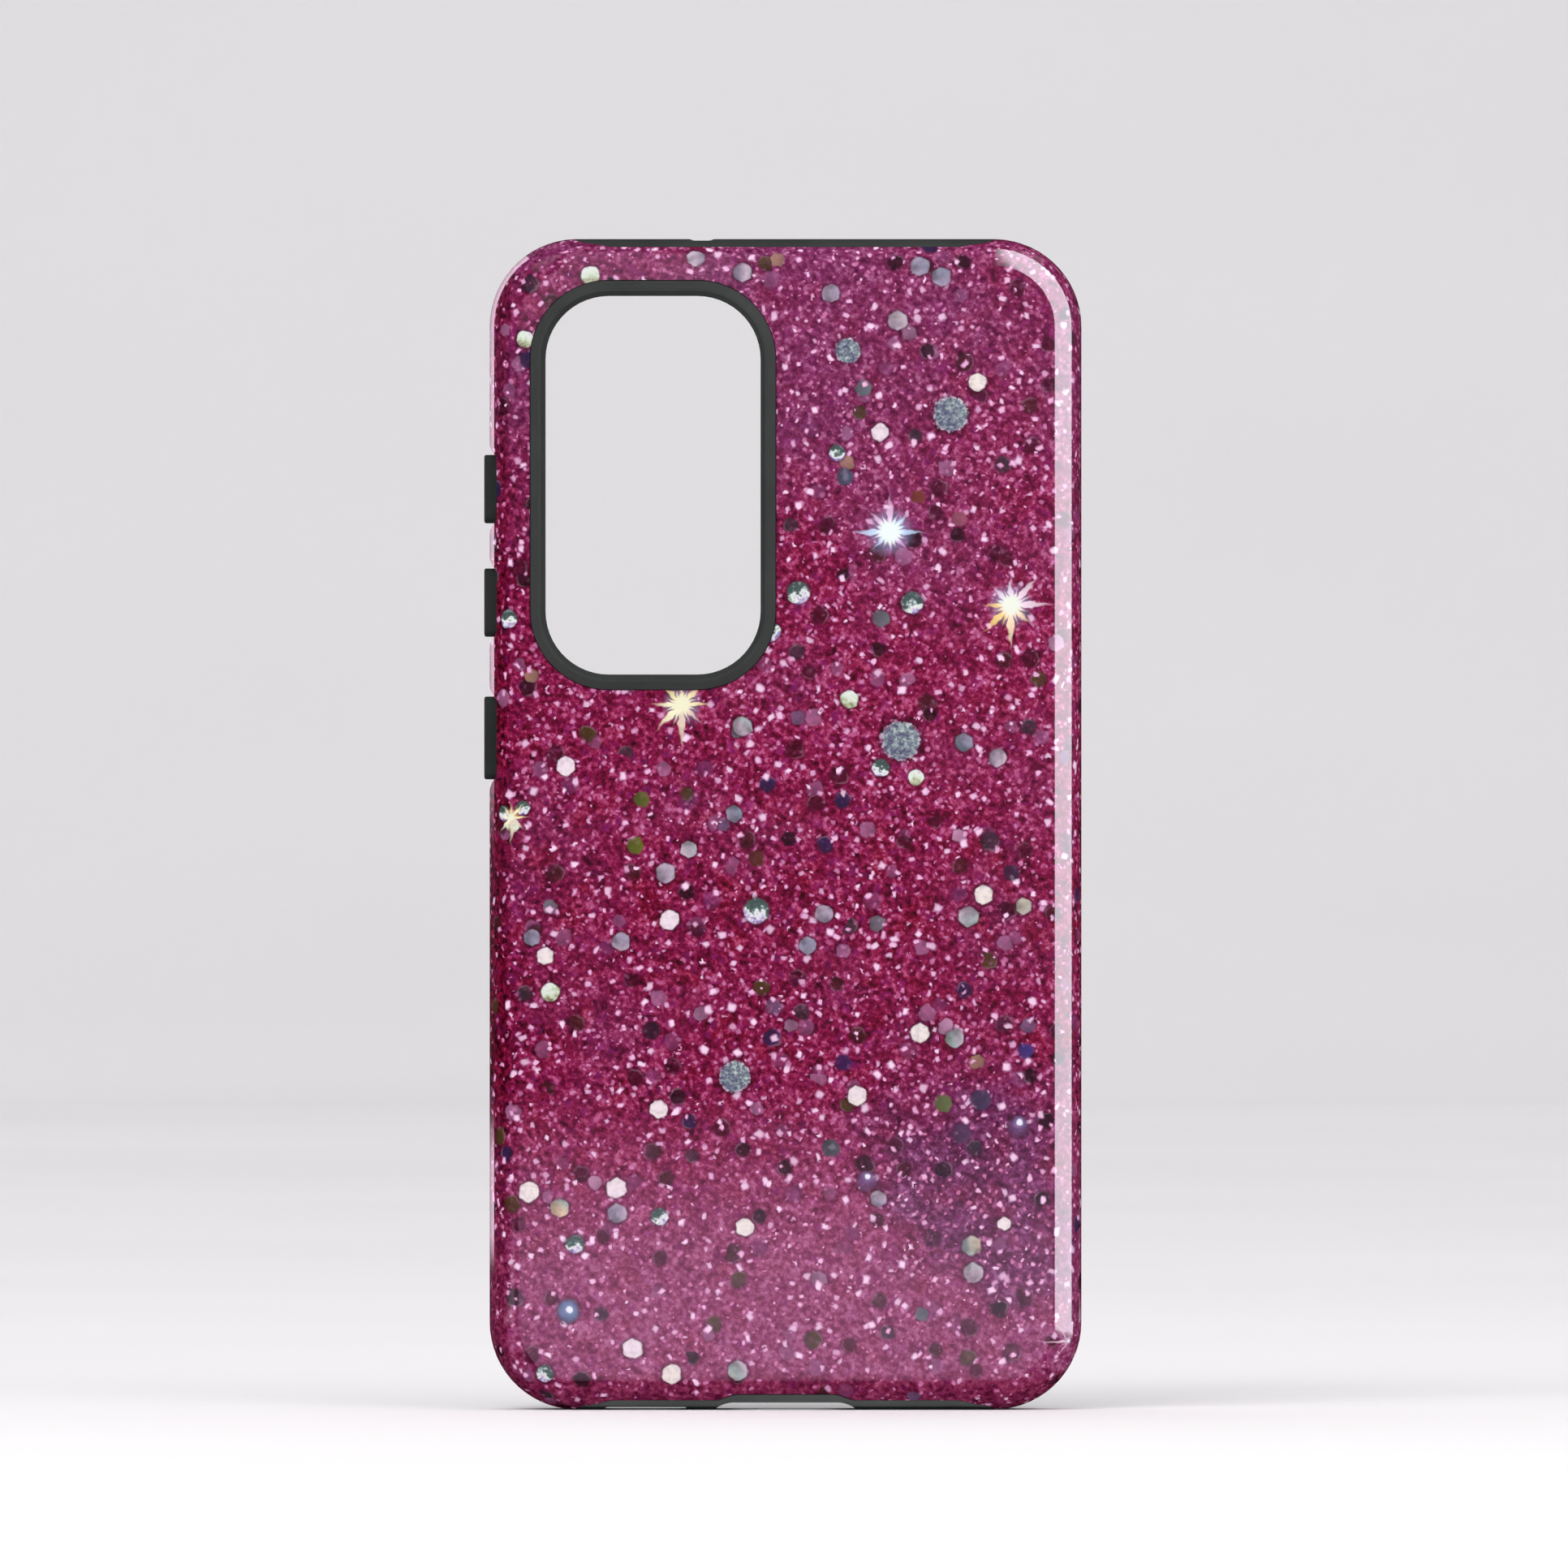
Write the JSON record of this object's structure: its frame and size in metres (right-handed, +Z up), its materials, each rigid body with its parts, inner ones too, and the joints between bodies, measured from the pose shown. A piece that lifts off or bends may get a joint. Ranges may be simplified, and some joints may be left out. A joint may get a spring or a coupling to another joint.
{
  "type": "phone case",
  "caption": "Two-layer tough phone case: a glossy hard shell over a soft liner, with a raised camera rim and sprung side key pads.",
  "frame": {"origin": "middle of the bottom edge that the case stands on, half way through its depth", "axes": "+Z up along the case's height, +X to the right as seen from the back, +Y out of the open front"},
  "size_m": [0.0779, 0.012, 0.1525],
  "materials": {
    "printed_shell": "glossy clear coat over a magenta glitter print",
    "soft_liner": "satin dark grey",
    "key_pads": "satin dark grey",
    "key_webs": "satin dark grey"
  },
  "bodies": {
    "shell": {"outer_shell": "printed_shell"},
    "liner": {"inner_liner": "soft_liner", "volume_up_web": "key_webs", "volume_down_web": "key_webs", "power_web": "key_webs"},
    "volume_up": {"volume_up_button": "key_pads"},
    "volume_down": {"volume_down_button": "key_pads"},
    "power": {"power_button": "key_pads"}
  },
  "joints": [
    {"name": "liner_lift", "type": "slide", "parent": "shell", "child": "liner", "axis": [0, 1, 0], "range_m": [0, 0.025]},
    {"name": "volume_up_press", "type": "slide", "parent": "liner", "child": "volume_up", "axis": [1, 0, 0], "range_m": [0, 0.0004], "stiffness_N_per_m": 4000, "deforming": ["volume_up_web"]},
    {"name": "volume_down_press", "type": "slide", "parent": "liner", "child": "volume_down", "axis": [1, 0, 0], "range_m": [0, 0.0004], "stiffness_N_per_m": 4000, "deforming": ["volume_down_web"]},
    {"name": "power_press", "type": "slide", "parent": "liner", "child": "power", "axis": [1, 0, 0], "range_m": [0, 0.0004], "stiffness_N_per_m": 4000, "deforming": ["power_web"]}
  ]
}
